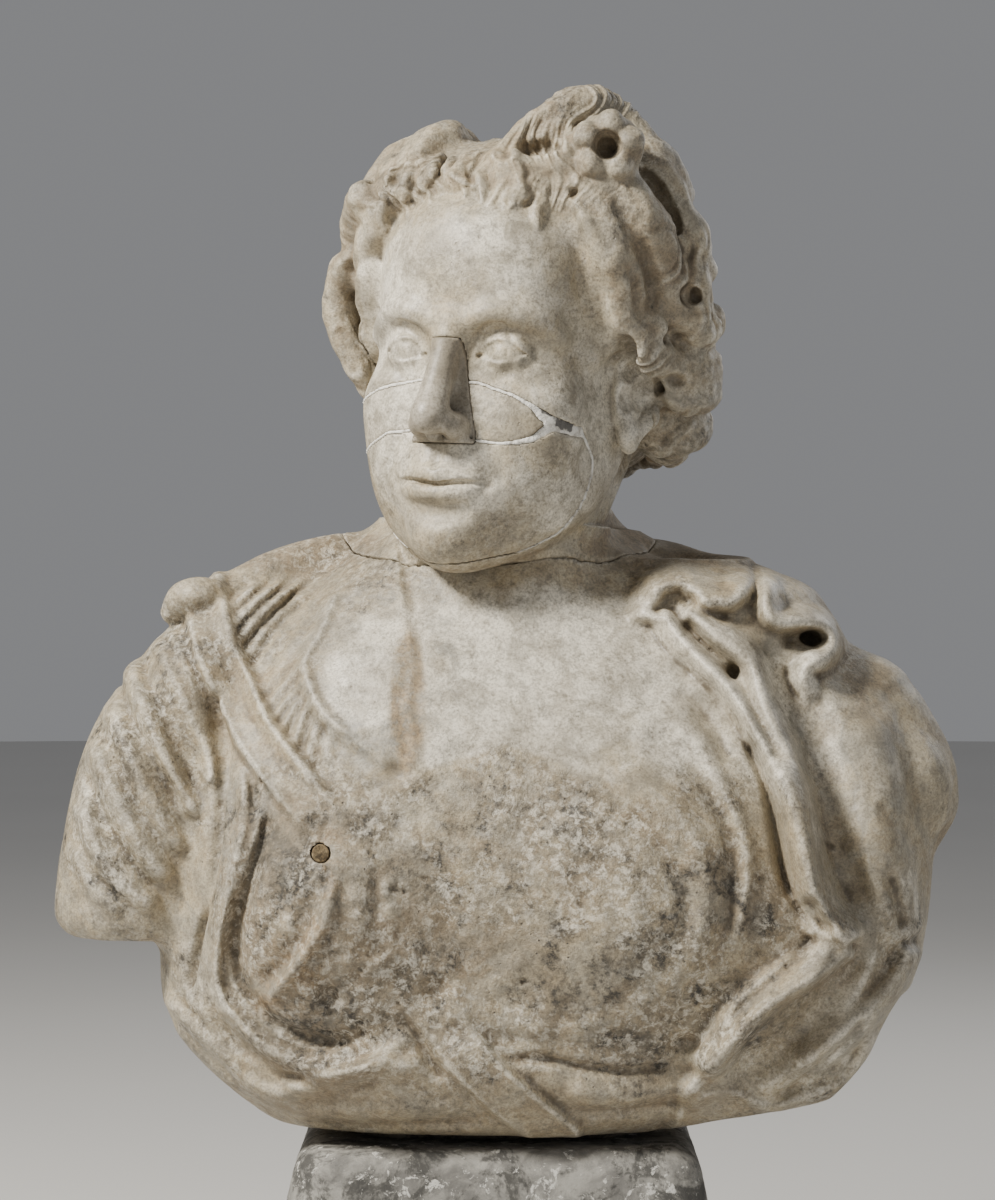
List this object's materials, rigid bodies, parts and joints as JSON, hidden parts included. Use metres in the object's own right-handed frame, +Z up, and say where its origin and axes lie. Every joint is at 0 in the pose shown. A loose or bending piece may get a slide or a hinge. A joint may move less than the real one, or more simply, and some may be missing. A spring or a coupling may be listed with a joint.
{
  "type": "marble bust",
  "caption": "Weathered marble bust of a draped, curly-haired figure on a tapered stone block, with a replaced nose, rejoined face fragments and a neck let into the shoulders.",
  "frame": {"origin": "centre of the stone block's underside, where it rests on the ground", "axes": "+Z up; -Y is the side the bust is seen from, and the face is turned about 25 degrees from it towards -X; +X to the right as seen from the front"},
  "size_m": [0.551, 0.2713, 0.7921],
  "materials": {
    "marble": "weathered, matt, sugary grain",
    "nose_marble": "honed, greyer than the rest",
    "grey_stone": "rough, lichen spotted",
    "mortar": "rough lime mortar",
    "filler": "smooth plaster filler",
    "iron": "rusted wrought iron",
    "lead": "poured lead"
  },
  "bodies": {
    "root": {"socle": "grey_stone", "socle_mortar_bed": "mortar", "socle_dowel": "iron", "socle_dowel_lead": "lead", "torso": "marble", "chest_hole_plug": "mortar", "neck_joint_mortar": "mortar", "neck_dowel": "iron", "neck_dowel_lead": "lead", "head_block": "marble", "left_cheek_fragment": "marble", "right_cheek_fragment": "marble", "lower_face_fragment": "marble", "face_joint_fill": "filler", "nose_restoration": "nose_marble", "nose_pin": "iron", "lower_face_pins": "iron"}
  },
  "joints": []
}
